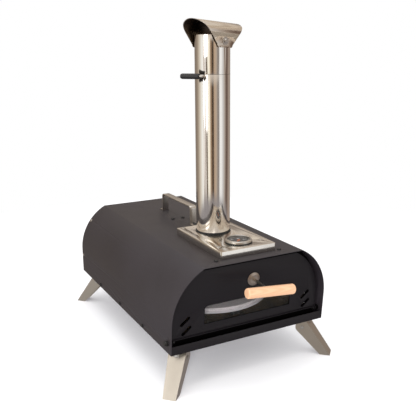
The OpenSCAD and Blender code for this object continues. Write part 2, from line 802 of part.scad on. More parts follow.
module damper_handle() color(dark) damper_space() translate([crank_out, 0, 0]) rotate([90, 0, 0])
    translate([0, 0, 6]) difference() {
        rotate_extrude() polygon([[0, 0], [5, 0], [6.2, 1.5], [6.2, crank_l - 7.5], [5, crank_l - 4], [0, crank_l - 4]]);
        translate([0, 0, -1]) cylinder(r = shaft_d / 2, h = crank_l - 2);
    }

// Rain cap: a curved sheet whose front and rear tabs are screwed to the chimney
cap_t = 1;
cap_in = pipe_r + 0.3;
cap_screw_z = pipe_top - 14;
cap_skirt = 14;
crown_r = 62;
crown_z = cap_rise - crown_r;
side_r = 22;
side_y = cap_in + cap_t - side_r;
side_z = crown_z + sqrt(pow(crown_r - side_r, 2) - pow(side_y, 2));
side_a = atan2(side_z - crown_z, side_y);

// Cross-section of the cap's outside, less inset all round
module cap_section(inset) {
    half = cap_in + cap_t - inset;
    translate([-half, -80]) square([2 * half, 80 + side_z]);
    for (s = [0, 1]) mirror([s, 0]) translate([side_y, side_z]) circle(side_r - inset);
    translate([0, crown_z]) intersection() {
        circle(crown_r - inset);
        wedge(2 * crown_r, side_a, 180 - side_a);
    }
    polygon([[-side_y, side_z], [side_y, side_z], [0, crown_z + crown_r - inset - 2]]);
}

cap_tab = 18;           // half width of the tabs' lower ends
tab_r = 6;

// The sheet's outline seen from the front
module cap_front() {
    low = cap_screw_z - pipe_top - cap_skirt;
    slope = (cap_l / 2 - cap_tab) / (cap_rise - low);
    polygon([[-cap_tab - slope * tab_r, low + tab_r], [cap_tab + slope * tab_r, low + tab_r],
        [cap_l / 2, cap_rise + 1], [-cap_l / 2, cap_rise + 1]]);
    translate([-cap_tab + tab_r, low]) square([2 * (cap_tab - tab_r), tab_r + 1]);
    for (s = [-1, 1]) translate([s * (cap_tab + slope * tab_r - tab_r), low + tab_r]) circle(tab_r);
}

module cap_space() {
    translate([0, pipe_y, cap_screw_z]) rotate([0, 0, cap_turn]) rotate([0, cap_tilt, 0])
        translate([0, 0, pipe_top - cap_screw_z]) children();
}

module rain_cap() color(steel) difference() {
    cap_space() intersection() {
        difference() {
            translate([-cap_l, 0, 0]) rotate([90, 0, 90]) linear_extrude(2 * cap_l) cap_section(0);
            translate([-cap_l - 1, 0, 0]) rotate([90, 0, 90]) linear_extrude(2 * cap_l + 2) cap_section(cap_t);
        }
        translate([0, cap_in + 5, 0]) rotate([90, 0, 0]) linear_extrude(2 * cap_in + 10) cap_front();
    }
    translate([0, pipe_y, 0]) cap_screw_bore();
}

module rain_cap_screws() color(steel) for (s = [cap_turn, cap_turn + 180])
    translate([0, pipe_y, cap_screw_z]) rotate([0, 0, s]) translate([0, -cap_in - cap_t, 0]) rotate([90, 0, 0]) {
        cylinder(r = 9, h = 1);
        translate([0, 0, 1]) screw(5, 3, screw_r, 9);
    }

// ---------- thermometer ----------

stem_r = 3;
cup_r = gauge_r - 3.5;
cup_d = 13;
dial_z = plate_top + 1.5;

module gauge_gasket() color(dark) translate([gauge_x, gauge_y, plate_top]) tube(gauge_r + 1, cup_r, 1.5);

// Cup, bezel and stem of the dial thermometer
module gauge_case() color(steel) translate([gauge_x, gauge_y, 0]) {
    translate([0, 0, plate_top - cup_d]) difference() {
        cylinder(r = cup_r, h = cup_d + 1.5);
        translate([0, 0, 1]) cylinder(r = cup_r - 1, h = cup_d + 2);
    }
    translate([0, 0, plate_top + 1.5]) rotate_extrude() polygon([[face_r, 0], [gauge_r, 0], [gauge_r, 4],
        [gauge_r - 1.5, 6], [face_r + 0.8, 6], [face_r, 5]]);
    translate([0, 0, roof_z - liner_in - 34]) cylinder(r = stem_r, h = plate_top - cup_d - roof_z + liner_in + 34 + eps);
}

module gauge_dial() color(dark) translate([gauge_x, gauge_y, dial_z - 1]) {
    cylinder(r = face_r - 0.1, h = 1);
    cylinder(r = 1, h = 3.2);
}

// The needle points at the low end of its scale
module gauge_needle() color("orangered") translate([gauge_x, gauge_y, dial_z + 0.4]) rotate([0, 0, 135]) difference() {
    union() {
        cylinder(r = 3.4, h = 1.2);
        translate([0, 0, 0.2]) linear_extrude(0.8) polygon([[-1.1, -7], [1.1, -7], [0.5, face_r - 6], [-0.5, face_r - 6]]);
    }
    translate([0, 0, -1]) cylinder(r = 1 + fit, h = 4);
}

module gauge_glass() color([0.8, 0.85, 0.85, 0.3]) translate([gauge_x, gauge_y, dial_z + 2.8])
    cylinder(r = face_r - 0.1, h = 1.6);

// ---------- carrying handle ----------

carry_bend = 9;

// Side view of the strap: feet turned out, two legs and the grip
module carry_outline() {
    h = carry_h;
    difference() {
        union() {
            translate([0, 0]) square([carry_l, h - carry_bend]);
            translate([carry_bend, 0]) square([carry_l - 2 * carry_bend, h]);
            for (x = [carry_bend, carry_l - carry_bend]) translate([x, h - carry_bend]) circle(carry_bend);
        }
        translate([carry_t, -1]) square([carry_l - 2 * carry_t, h - carry_bend + 1]);
        translate([carry_bend, -1]) square([carry_l - 2 * carry_bend, h - carry_t + 1]);
        for (x = [carry_bend, carry_l - carry_bend]) translate([x, h - carry_bend]) circle(carry_bend - carry_t);
    }
    translate([-carry_foot, 0]) square([carry_foot + 1, carry_t]);
    translate([carry_l - 1, 0]) square([carry_foot + 1, carry_t]);
}

module carrying_handle() color(steel) difference() {
    translate([carry_x - carry_w / 2, carry_y, roof_z]) rotate([90, 0, 90]) linear_extrude(carry_w) carry_outline();
    carry_screw_places() translate([0, 0, -1]) cylinder(r = screw_hole, h = 10);
}

module carrying_handle_screws() color(dark) carry_screw_places(roof_z + carry_t) screw(5.5, 3, screw_r, carry_t + 6);

// ---------- legs ----------

pivot_z = floor_z - leg_drop;
leg_l = pivot_z / cos(splay);
leg_t = 1.8;
leg_xs = body_w / 2 - leg_side_in;
leg_ys = [front_y + leg_front_in, back_y - leg_rear_in];
leg_bolt_r = leg_bolt_d / 2;
leg_taper = atan((leg_w - foot_w) / 2 / leg_l);
bracket_w = leg_w - 2 * leg_t - 6;
leg_eye_r = leg_pivot_in - 1;
leg_stop = leg_drop - 0.5;      // height above the pivot where a leg meets the tray
leg_up = (leg_stop - leg_pivot_in * sin(splay)) / cos(splay);
leg_low = -leg_l - leg_pivot_in;

// Moves a piece drawn at the right rear corner to a corner. X points outwards there
module leg_place(right, rear) {
    translate([right ? leg_xs : -leg_xs, leg_ys[rear ? 1 : 0], pivot_z])
        rotate([0, 0, rear ? (right ? 45 : 135) : (right ? -45 : -135)]) children();
}

// Leg in its own frame: pivot at the origin, -Z towards the foot, X outwards
module flange_outline() {
    circle(leg_eye_r);
    polygon([[leg_pivot_in, leg_up], [leg_pivot_in, leg_low], [leg_pivot_in - foot_depth, leg_low],
        [-leg_eye_r, 0], [0, 0], [leg_stop * sin(splay), leg_stop * cos(splay)]]);
}

tongue_w = 11;
tongue_low = 4;         // lower end of the bracket's tongue below the pivot

// Outer face of a leg, cut out at its top around the bracket's tongue
module face_outline() {
    top = leg_w / 2 + leg_up * tan(leg_taper);
    low = leg_w / 2 + leg_low * tan(leg_taper);
    difference() {
        polygon([[-top, leg_up], [top, leg_up], [low, leg_low], [-low, leg_low]]);
        translate([-tongue_w / 2 - 1, -tongue_low - 1]) square([tongue_w + 2, far]);
    }
}

module leg(right, rear) color(steel) difference() {
    leg_place(right, rear) rotate([0, -splay, 0]) difference() {
        union() {
            translate([leg_pivot_in - leg_t, 0, 0]) rotate([90, 0, 90]) linear_extrude(leg_t) face_outline();
            for (s = [0, 1]) mirror([0, s, 0]) translate([0, leg_w / 2, 0]) rotate([-leg_taper, 0, 0])
                rotate([90, 0, 0]) linear_extrude(leg_t) flange_outline();
        }
        rotate([90, 0, 0]) translate([0, 0, -leg_w]) cylinder(r = leg_bolt_r + fit, h = 2 * leg_w);
    }
    translate([-far, -far, -2 * far]) cube([2 * far, 2 * far, 2 * far]);
}

module leg_front_left() leg(false, false);
module leg_front_right() leg(true, false);
module leg_rear_left() leg(false, true);
module leg_rear_right() leg(true, true);

module at_legs() {
    for (right = [false, true], rear = [false, true]) leg_place(right, rear) children();
}

ear_r = 9;

// U brackets under the tray, each between a leg's flanges, with a tongue that fills the
// cut-out in the opened leg's outer face
module leg_brackets() color(steel) at_legs() difference() {
    union() {
        difference() {
            bracket_body();
            rotate([0, -splay, 0]) translate([leg_pivot_in - leg_t - gap, -leg_w, -leg_w]) cube(2 * leg_w);
        }
        rotate([0, -splay, 0]) translate([leg_pivot_in - 2 * leg_t, -tongue_w / 2, -tongue_low])
            cube([2 * leg_t, tongue_w, tongue_low + leg_w]);
    }
    rotate([90, 0, 0]) translate([0, 0, -leg_w]) cylinder(r = leg_bolt_r + fit, h = 2 * leg_w);
    translate([-leg_w, -leg_w, leg_drop]) cube(2 * leg_w);
}

module bracket_body() {
    translate([-ear_r, -bracket_w / 2, leg_drop - leg_t]) cube([2 * ear_r, bracket_w, leg_t]);
    for (s = [0, 1]) mirror([0, s, 0]) translate([0, bracket_w / 2, 0]) rotate([90, 0, 0])
        linear_extrude(leg_t) {
            circle(ear_r);
            translate([-ear_r, 0]) square([2 * ear_r, leg_drop]);
        }
}

module leg_bolts() color(steel) at_legs() rotate([90, 0, 0]) {
    translate([0, 0, -leg_w / 2 - 0.5]) cylinder(r = leg_bolt_r, h = leg_w + 1);
    for (s = [0, 1]) mirror([0, 0, s]) translate([0, 0, leg_w / 2 + 0.4]) screw(leg_bolt_r * 1.5, 1.6, leg_bolt_r, 1);
}

outer_shell();
base_tray();
rear_panel();
rear_panel_rivets();
tray_side_screws();
front_frame();
inner_liner();
insulation_blanket();
floor_board();
stone_pivot();
stone_carrier();
pizza_stone();
stone_turning_tab();
fire_box();
fire_grate();
drawer_tray();
drawer_knob();
fuel_door_panel();
fuel_door_leaf();
fuel_door_knob();
fuel_hinge_leaf();
fuel_hinge_pin();
door_panel();
door_inner_panel();
window_glass();
door_panel_screws();
door_pivot_bolts();
door_pivot_spacers();
handle_escutcheon();
handle_rod();
wooden_grip();
flue_collar();
chimney_base_plate();
base_plate_screws();
pipe_gasket();
lower_pipe();
upper_pipe();
damper_shaft();
damper_disc();
damper_handle();
rain_cap();
rain_cap_screws();
gauge_gasket();
gauge_case();
gauge_dial();
gauge_needle();
gauge_glass();
carrying_handle();
carrying_handle_screws();
roof_screws();
leg_brackets();
leg_bolts();
leg_front_left();
leg_front_right();
leg_rear_left();
leg_rear_right();
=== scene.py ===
"""Wood fired pizza oven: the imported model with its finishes, fine details and a pale studio."""
import json
import math

import bpy
from mathutils import Matrix, Vector

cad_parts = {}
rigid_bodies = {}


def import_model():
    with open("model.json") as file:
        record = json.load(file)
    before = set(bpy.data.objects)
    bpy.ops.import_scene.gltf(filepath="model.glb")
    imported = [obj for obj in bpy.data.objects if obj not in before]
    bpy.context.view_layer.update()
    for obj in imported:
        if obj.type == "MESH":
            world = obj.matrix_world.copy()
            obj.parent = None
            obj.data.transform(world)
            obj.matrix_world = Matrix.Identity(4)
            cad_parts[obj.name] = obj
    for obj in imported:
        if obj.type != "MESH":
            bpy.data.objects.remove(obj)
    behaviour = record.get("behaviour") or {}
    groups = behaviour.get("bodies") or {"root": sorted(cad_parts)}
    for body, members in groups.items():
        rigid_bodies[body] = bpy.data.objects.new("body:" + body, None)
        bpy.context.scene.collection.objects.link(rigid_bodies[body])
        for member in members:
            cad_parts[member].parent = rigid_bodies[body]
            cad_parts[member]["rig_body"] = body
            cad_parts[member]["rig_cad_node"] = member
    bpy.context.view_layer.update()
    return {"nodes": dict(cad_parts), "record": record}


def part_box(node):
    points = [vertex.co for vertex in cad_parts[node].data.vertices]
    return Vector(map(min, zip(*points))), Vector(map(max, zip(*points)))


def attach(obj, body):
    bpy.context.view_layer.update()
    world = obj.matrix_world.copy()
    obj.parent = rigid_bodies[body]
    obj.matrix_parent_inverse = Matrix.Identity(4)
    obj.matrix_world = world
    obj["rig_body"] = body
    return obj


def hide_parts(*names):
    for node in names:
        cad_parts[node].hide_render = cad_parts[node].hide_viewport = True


MM = 0.001

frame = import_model()
nodes = frame["nodes"]
body_of = {node: body for body, held in frame["record"]["behaviour"]["bodies"].items() for node in held}

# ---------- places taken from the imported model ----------


def middle(node):
    """Centre of a node's box."""
    low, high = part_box(node)
    return (Vector(low) + Vector(high)) / 2


front_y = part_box("base_tray")[0][1]
pipe_y = middle("lower_pipe").y
seam_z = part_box("lower_pipe")[1][2]
flue_top_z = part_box("upper_pipe")[1][2]

# ---------- small tools ----------


def deselect():
    """Clears the selection, which the joining and converting operators act on."""
    for o in bpy.context.view_layer.objects:
        o.select_set(False)


def pick(obj):
    """Makes an object the only selected and the active one."""
    deselect()
    obj.select_set(True)
    bpy.context.view_layer.objects.active = obj


def edit(obj, *steps):
    """Runs mesh operators on the whole of an object."""
    pick(obj)
    bpy.ops.object.mode_set(mode="EDIT")
    bpy.ops.mesh.select_all(action="SELECT")
    for step in steps:
        step()
    bpy.ops.object.mode_set(mode="OBJECT")


def apply_modifiers(obj):
    """Writes an object's modifiers into its mesh, in their order."""
    pick(obj)
    for m in list(obj.modifiers):
        bpy.ops.object.modifier_apply(modifier=m.name)


def settle(obj, name, body, material):
    """Puts a finished piece's place into its mesh, and names, rides and paints it."""
    pick(obj)
    bpy.ops.object.transform_apply(location=True, rotation=True, scale=True)
    obj.name = obj.data.name = name
    obj.data.materials.clear()
    obj.data.materials.append(material)
    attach(obj, body)


def smooth(obj, angle):
    """Smooth shading, with creases kept where faces meet at more than the angle."""
    pick(obj)
    bpy.ops.object.shade_smooth_by_angle(angle=math.radians(angle))


def join(objs):
    """One object out of several meshes."""
    deselect()
    for o in objs:
        o.select_set(True)
    bpy.context.view_layer.objects.active = objs[0]
    bpy.ops.object.join()
    return objs[0]


# ---------- nodes of a material ----------


class Paint:
    """A material under construction, read on Object coordinates."""

    def __init__(self, name, stretch=(1, 1, 1)):
        self.mat = bpy.data.materials.new(name)
        self.mat.use_nodes = True
        self.tree = self.mat.node_tree
        self.shader = self.tree.nodes["Principled BSDF"]
        self.coords = self.add("ShaderNodeTexCoord")
        self.object = self.mapped(stretch)

    def add(self, kind, **values):
        """A new node with the given properties."""
        n = self.tree.nodes.new(kind)
        for key, value in values.items():
            setattr(n, key, value)
        return n

    def link(self, a, b):
        """Joins an output to an input."""
        self.tree.links.new(a, b)

    def mapped(self, stretch, turn=(0, 0, 0), at=(0, 0, 0)):
        """Object coordinates, turned, scaled and moved."""
        m = self.add("ShaderNodeMapping", vector_type="POINT")
        m.inputs["Location"].default_value = at
        m.inputs["Rotation"].default_value = turn
        m.inputs["Scale"].default_value = stretch
        self.link(self.coords.outputs["Object"], m.inputs["Vector"])
        return m.outputs["Vector"]

    def noise(self, scale, detail=4, rough=0.55, where=None, distortion=0.0):
        """Noise between 0 and 1. where defaults to the material's own coordinates."""
        n = self.add("ShaderNodeTexNoise")
        n.inputs["Scale"].default_value = scale
        n.inputs["Detail"].default_value = detail
        n.inputs["Roughness"].default_value = rough
        n.inputs["Distortion"].default_value = distortion
        self.link(where or self.object, n.inputs["Vector"])
        return n.outputs["Fac"]

    def ramp(self, value, *stops):
        """Colour by value. Each stop is (place, colour)."""
        r = self.add("ShaderNodeValToRGB")
        ramp = r.color_ramp
        while len(ramp.elements) < len(stops):
            ramp.elements.new(0.5)
        for e, (place, colour) in zip(ramp.elements, stops):
            e.position = place
            e.color = (*colour, 1)
        self.link(value, r.inputs["Fac"])
        return r.outputs["Color"]

    def span(self, value, low, high, from_low=0.3, from_high=0.7):
        """Carries the range from_low to from_high of a value to the range low to high."""
        m = self.add("ShaderNodeMapRange")
        m.inputs["From Min"].default_value = from_low
        m.inputs["From Max"].default_value = from_high
        m.inputs["To Min"].default_value = low
        m.inputs["To Max"].default_value = high
        self.link(value, m.inputs["Value"])
        return m.outputs["Result"]

    def math(self, kind, a, b):
        """One sum, of sockets or plain numbers."""
        m = self.add("ShaderNodeMath", operation=kind)
        for socket, value in zip(m.inputs, (a, b)):
            if isinstance(value, (int, float)):
                socket.default_value = value
            else:
                self.link(value, socket)
        return m.outputs[0]

    def mix(self, factor, a, b):
        """Colour a, with colour b over it by the factor."""
        m = self.add("ShaderNodeMix", data_type="RGBA")
        for socket, value in ((m.inputs[0], factor), (m.inputs[6], a), (m.inputs[7], b)):
            if isinstance(value, (int, float)):
                socket.default_value = value
            elif isinstance(value, tuple):
                socket.default_value = (*value, 1)
            else:
                self.link(value, socket)
        return m.outputs[2]

    def bump(self, *layers):
        """Each layer is (height, strength, distance)."""
        before = None
        for height, strength, distance in layers:
            b = self.add("ShaderNodeBump")
            b.inputs["Strength"].default_value = strength
            b.inputs["Distance"].default_value = distance
            self.link(height, b.inputs["Height"])
            if before:
                self.link(before, b.inputs["Normal"])
            before = b.outputs["Normal"]
        self.link(before, self.shader.inputs["Normal"])

    def set(self, **sockets):
        """Sets or links sockets of the shader. An underscore stands for a space."""
        for key, value in sockets.items():
            socket = self.shader.inputs[key.replace("_", " ")]
            if isinstance(value, bpy.types.NodeSocket):
                self.link(value, socket)
            elif isinstance(value, tuple) and len(value) == 3:
                socket.default_value = (*value, 1)
            else:
                socket.default_value = value
        return self.mat


def shade(tone, factor, lift=0.0):
    """A colour made darker or lighter."""
    return tuple(c * factor + lift for c in tone)


# ---------- finishes ----------


def powder_coat(name, tone, rough, grain=0.12, dust=0.35, shine=0.5):
    """Black paint baked on steel: a fine orange peel, dust and faint cloudiness."""
    p = Paint(name)
    cloud = p.noise(5, 5)
    fine = p.noise(850, 2)
    speck = p.noise(260, 3, 0.7)
    base = p.ramp(cloud, (0.32, shade(tone, 0.86)), (0.68, shade(tone, 1.18)))
    dusty = p.mix(p.span(speck, 0, dust, 0.62, 0.8), base, shade(tone, 2.2, 0.01))
    p.bump((fine, grain, 0.0004), (p.noise(90, 3), 0.05, 0.001))
    return p.set(Base_Color=dusty, Roughness=p.span(cloud, rough - 0.05, rough + 0.07),
                 Specular_IOR_Level=shine)


def brushed(name, tone, rough, along, lines=0.10, blotch=0.06):
    """Bare steel with fine lines. along gives how closely they lie on each axis."""
    p = Paint(name, along)
    plain = p.mapped((1, 1, 1))
    line = p.noise(60, 6, 0.7)
    wide = p.noise(9, 4, 0.6, plain)
    smear = p.noise(38, 4, 0.6, plain, 0.6)
    colour = p.ramp(line, (0.25, shade(tone, 1 - lines)), (0.75, tone))
    colour = p.mix(p.span(wide, 0, blotch * 4), colour, shade(tone, 0.78))
    p.bump((line, 0.03, 0.0002))
    return p.set(Base_Color=colour, Metallic=1.0,
                 Roughness=p.math("ADD", p.span(smear, rough - 0.03, rough + 0.05),
                                  p.span(line, -0.02, 0.05)))


def hardwood(name, turn=(0, 0, 0)):
    """Pale oiled hardwood with its grain along the piece's X after the turn."""
    tone, dark = (0.76, 0.47, 0.29), (0.62, 0.35, 0.20)
    p = Paint(name)
    grain = p.mapped((5, 60, 60), turn)
    rings = p.add("ShaderNodeTexWave", wave_type="RINGS", rings_direction="X", wave_profile="SIN")
    rings.inputs["Scale"].default_value = 130
    rings.inputs["Distortion"].default_value = 2.5
    rings.inputs["Detail"].default_value = 3
    rings.inputs["Detail Scale"].default_value = 1.4
    p.link(p.mapped((0.12, 1, 1), turn, (0, 0.006, -0.010)), rings.inputs["Vector"])
    streak = p.noise(1.6, 6, 0.6, grain, 0.4)
    pores = p.noise(16, 3, 0.7, grain)
    between = tuple((a + b) / 2 for a, b in zip(tone, dark))
    colour = p.ramp(rings.outputs["Fac"], (0.1, dark), (0.45, between), (0.85, tone))
    colour = p.mix(0.55, colour, p.ramp(streak, (0.3, dark), (0.62, tone)))
    colour = p.mix(p.span(pores, 0, 0.35, 0.6, 0.75), colour, shade(dark, 0.55))
    p.bump((streak, 0.15, 0.0005), (pores, 0.12, 0.0002))
    return p.set(Base_Color=colour, Roughness=p.span(streak, 0.48, 0.34), Specular_IOR_Level=0.4)


def hot_steel():
    """Sheet steel that has been through many fires: straw and blue-grey tints, soot."""
    p = Paint("fired_sheet_steel")
    heat = p.noise(4, 4, 0.6, None, 0.8)
    soot = p.noise(22, 6, 0.65)
    tint = p.ramp(heat, (0.30, (0.10, 0.085, 0.075)), (0.5, (0.17, 0.13, 0.09)),
                  (0.7, (0.09, 0.09, 0.10)))
    colour = p.mix(p.span(soot, 0, 0.8, 0.42, 0.66), tint, (0.022, 0.020, 0.018))
    p.bump((soot, 0.25, 0.0006))
    return p.set(Base_Color=colour, Metallic=0.55, Roughness=p.span(soot, 0.42, 0.72))


def chamber_roof():
    """Bright liner steel, brown with smoke towards the fire."""
    p = Paint("smoked_liner_steel", (1, 0.25, 1))
    smoke = p.noise(7, 5, 0.6, None, 0.5)
    colour = p.ramp(smoke, (0.3, (0.36, 0.31, 0.26)), (0.55, (0.25, 0.18, 0.12)),
                    (0.75, (0.08, 0.065, 0.05)))
    p.bump((p.noise(60, 4), 0.12, 0.0005))
    return p.set(Base_Color=colour, Metallic=0.7, Roughness=p.span(smoke, 0.38, 0.62))


def carrier_finish():
    """Bright pressed steel of the stone's dish, with lines round its rim."""
    p = Paint("stone_dish_steel")
    line = p.noise(40, 5, 0.6, p.mapped((1, 1, 12)))
    colour = p.ramp(line, (0.3, (0.74, 0.69, 0.71)), (0.7, (0.88, 0.84, 0.86)))
    p.bump((line, 0.10, 0.0003))
    return p.set(Base_Color=colour, Metallic=0.25, Roughness=p.span(line, 0.36, 0.5))


def cordierite():
    """Pale fired stone: sandy specks, faint pits and scorch marks."""
    p = Paint("fired_stone")
    sand = p.noise(420, 4, 0.7)
    scorch = p.noise(9, 5, 0.6, None, 0.5)
    colour = p.ramp(sand, (0.34, (0.60, 0.54, 0.55)), (0.5, (0.74, 0.68, 0.69)),
                    (0.66, (0.86, 0.81, 0.82)))
    colour = p.mix(p.span(scorch, 0, 0.55, 0.55, 0.75), colour, (0.16, 0.13, 0.11))
    p.bump((sand, 0.35, 0.0006), (p.noise(60, 3), 0.1, 0.001))
    return p.set(Base_Color=colour, Roughness=p.span(sand, 0.62, 0.8))


def fibre_board():
    """Smoke-brown insulating board with a coarse grain."""
    p = Paint("smoked_fibre_board", (1, 0.5, 1))
    fibre = p.noise(150, 6, 0.7)
    stain = p.noise(14, 5, 0.6, None, 0.7)
    colour = p.ramp(fibre, (0.3, (0.045, 0.026, 0.012)), (0.5, (0.11, 0.066, 0.032)),
                    (0.7, (0.21, 0.13, 0.065)))
    colour = p.mix(p.span(stain, 0, 0.7, 0.45, 0.7), colour, (0.03, 0.024, 0.018))
    p.bump((fibre, 0.5, 0.0015))
    return p.set(Base_Color=colour, Roughness=p.span(fibre, 0.8, 0.95))


def blanket():
    """White ceramic wool with an uneven, fluffy surface."""
    p = Paint("ceramic_wool")
    fluff = p.noise(180, 6, 0.75)
    p.bump((fluff, 0.6, 0.002))
    return p.set(Base_Color=p.ramp(fluff, (0.3, (0.62, 0.60, 0.55)), (0.7, (0.86, 0.85, 0.81))),
                 Roughness=p.span(fluff, 0.85, 1.0))


def clear_glass(name, rough):
    """Thin glass, clear but for its reflections and a faint smear."""
    tint = (0.10, 0.105, 0.10)
    p = Paint(name)
    smear = p.noise(30, 4, 0.6, None, 0.6)
    return p.set(Base_Color=p.ramp(smear, (0.3, shade(tint, 0.96)), (0.7, tint)),
                 Alpha=0.05, IOR=1.45, Roughness=p.span(smear, rough, rough + 0.03))


def dark_part(name, tone, rough, grain=400, strength=0.2, metallic=0.0):
    """Rubber, black oxide or moulded plastic, by its tone, gloss and grain."""
    p = Paint(name)
    fine = p.noise(grain, 3, 0.6)
    wear = p.noise(45, 4, 0.6)
    colour = p.ramp(wear, (0.3, shade(tone, 0.8)), (0.7, shade(tone, 1.35)))
    p.bump((fine, strength, 0.0003))
    return p.set(Base_Color=colour, Metallic=metallic, Roughness=p.span(wear, rough - 0.06, rough + 0.08))


def cast_grate():
    """Cast iron, dusted with pale ash."""
    p = Paint("ashy_grate_iron")
    ash = p.noise(70, 6, 0.7)
    colour = p.ramp(ash, (0.35, (0.03, 0.027, 0.025)), (0.55, (0.09, 0.08, 0.075)),
                    (0.72, (0.30, 0.285, 0.27)))
    p.bump((ash, 0.5, 0.0008))
    return p.set(Base_Color=colour, Metallic=0.3, Roughness=p.span(ash, 0.6, 0.9))


def dial_finish():
    """Matt charcoal print with a fine speckle."""
    p = Paint("dial_print")
    speck = p.noise(1500, 2, 0.6)
    colour = p.ramp(speck, (0.38, (0.030, 0.027, 0.027)), (0.62, (0.10, 0.092, 0.09)))
    return p.set(Base_Color=colour, Roughness=p.span(speck, 0.5, 0.7))


black_paint = powder_coat("black_powder_coat", (0.0225, 0.0185, 0.0225), 0.46, shine=0.46)
tray_paint = powder_coat("tray_powder_coat", (0.0062, 0.0048, 0.0066), 0.50, 0.08, 0.2, 0.36)
# Soot and painted shade: near black and dull, so the frame behind the door reads as the dark band of shade
# in the gap.
soot_and_shade_black = powder_coat("soot_and_painted_shade_black", (0.0016, 0.0013, 0.0014), 0.85, 0.2, 0.1, 0.08)
door_paint = powder_coat("door_heat_paint", (0.0058, 0.0044, 0.0062), 0.50, 0.07, 0.2, 0.33)
rear_paint = powder_coat("rear_door_paint", (0.016, 0.014, 0.015), 0.52)

polished = brushed("polished_tube_steel", (0.83, 0.79, 0.74), 0.085, (6, 6, 0.05), 0.05, 0.02)
plate_steel = brushed("polished_plate_steel", (0.80, 0.76, 0.70), 0.15, (8, 0.2, 8), 0.07)
cap_steel = brushed("brushed_cap_steel", (0.74, 0.66, 0.57), 0.20, (0.15, 9, 9), 0.10, 0.04)
strap_steel = brushed("brushed_strap_steel", (0.62, 0.58, 0.53), 0.30, (9, 0.2, 9), 0.14)
leg_steel = brushed("brushed_leg_steel", (0.57, 0.53, 0.47), 0.38, (5, 5, 0.6), 0.08, 0.10)
plain_steel = brushed("turned_steel", (0.66, 0.63, 0.59), 0.28, (6, 6, 6))
smoked_steel = brushed("smoked_cap_inside", (0.11, 0.08, 0.055), 0.34, (0.15, 9, 9), 0.3)
satin_bronze = brushed("satin_plate_steel", (0.50, 0.43, 0.37), 0.36, (14, 14, 14))
zinc = brushed("zinc_plate", (0.56, 0.56, 0.55), 0.42, (2, 2, 2), blotch=0.12)

rubber = dark_part("seal_rubber", (0.012, 0.012, 0.012), 0.62)
black_oxide = dark_part("black_oxide_steel", (0.025, 0.024, 0.024), 0.38, 500, 0.15, 0.6)
phenolic = dark_part("phenolic_sleeve", (0.010, 0.0095, 0.010), 0.40, 700, 0.12)
needle_paint = dark_part("needle_lacquer", (0.42, 0.13, 0.06), 0.35, 900, 0.05)
white_print = dark_part("dial_scale_print", (0.62, 0.61, 0.58), 0.55, 900, 0.05)

LEGS = ("leg_front_left", "leg_front_right", "leg_rear_left", "leg_rear_right")
FINISHES = (
    (black_paint, ("outer_shell", "rear_panel")),
    (tray_paint, ("base_tray",)),
    (door_paint, ("door_panel",)),
    (rear_paint, ("fuel_door_panel", "drawer_tray")),
    (soot_and_shade_black, ("front_frame", "door_inner_panel", "door_pivot_spacers")),
    (hot_steel(), ("fire_box", "stone_pivot")),
    (chamber_roof(), ("inner_liner",)),
    (carrier_finish(), ("stone_carrier",)),
    (cordierite(), ("pizza_stone",)),
    (fibre_board(), ("floor_board",)),
    (blanket(), ("insulation_blanket",)),
    (cast_grate(), ("fire_grate",)),
    (dial_finish(), ("gauge_dial",)),
    (needle_paint, ("gauge_needle",)),
    (clear_glass("window_pane", 0.02), ("window_glass",)),
    (clear_glass("dial_lens", 0.01), ("gauge_glass",)),
    (hardwood("grip_hardwood"), ("wooden_grip",)),
    (hardwood("knob_hardwood", (0, 0, math.radians(90))), ("drawer_knob", "fuel_door_knob")),
    (polished, ("lower_pipe", "upper_pipe")),
    (plate_steel, ("chimney_base_plate",)),
    (cap_steel, ("rain_cap",)),
    (strap_steel, ("carrying_handle",)),
    (satin_bronze, ("handle_escutcheon",)),
    (phenolic, ("damper_handle",)),
    (leg_steel, LEGS),
    (zinc, ("leg_brackets", "leg_bolts")),
    (rubber, ("pipe_gasket", "gauge_gasket")),
    (plain_steel, ("flue_collar", "gauge_case", "handle_rod", "damper_shaft", "damper_disc",
                   "rain_cap_screws", "base_plate_screws", "rear_panel_rivets", "fuel_hinge_leaf",
                   "fuel_door_leaf", "fuel_hinge_pin")),
    (black_oxide, ("stone_turning_tab", "tray_side_screws", "roof_screws", "carrying_handle_screws",
                   "door_panel_screws", "door_pivot_bolts")),
)
finish_of = {node: finish for finish, painted in FINISHES for node in painted}

for node, obj in nodes.items():
    obj.data.materials.clear()
    obj.data.materials.append(finish_of[node])

# ---------- folded sheet pieces with softened edges ----------


def soften(node, width):
    """A copy of a node whose sharp edges are rounded to the width in mm, shown in its place."""
    obj = nodes[node].copy()
    obj.data = nodes[node].data.copy()
    obj.name = obj.data.name = node + "_formed"
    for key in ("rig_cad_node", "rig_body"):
        if key in obj:
            del obj[key]
    obj.parent = None
    bpy.context.scene.collection.objects.link(obj)
    edit(obj, lambda: bpy.ops.mesh.remove_doubles(threshold=0.00001),
         lambda: bpy.ops.mesh.customdata_custom_splitnormals_clear(),
         lambda: bpy.ops.mesh.dissolve_limited(angle_limit=math.radians(0.5)))
    bevel = obj.modifiers.new("rounded", "BEVEL")
    bevel.width = width * MM
    bevel.segments = 2
    bevel.limit_method = "ANGLE"
    bevel.angle_limit = math.radians(35)
    apply_modifiers(obj)
    smooth(obj, 40)
    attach(obj, body_of[node])
    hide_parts(node)


SOFT_EDGES = (
    # width of the rounded edge in mm, and the nodes that have it
    (0.45, ("outer_shell", "base_tray")),
    (0.4, ("door_panel", "rear_panel", "chimney_base_plate")),
    (0.7, ("carrying_handle",)),
    (0.3, ("rain_cap",)),
    (0.6, LEGS),
    (0.5, ("leg_brackets",)),
    (0.4, ("fuel_door_panel", "drawer_tray")),
    (0.3, ("lower_pipe", "upper_pipe")),
    (0.6, ("fire_grate",)),
)
for width, formed in SOFT_EDGES:
    for node in formed:
        soften(node, width)


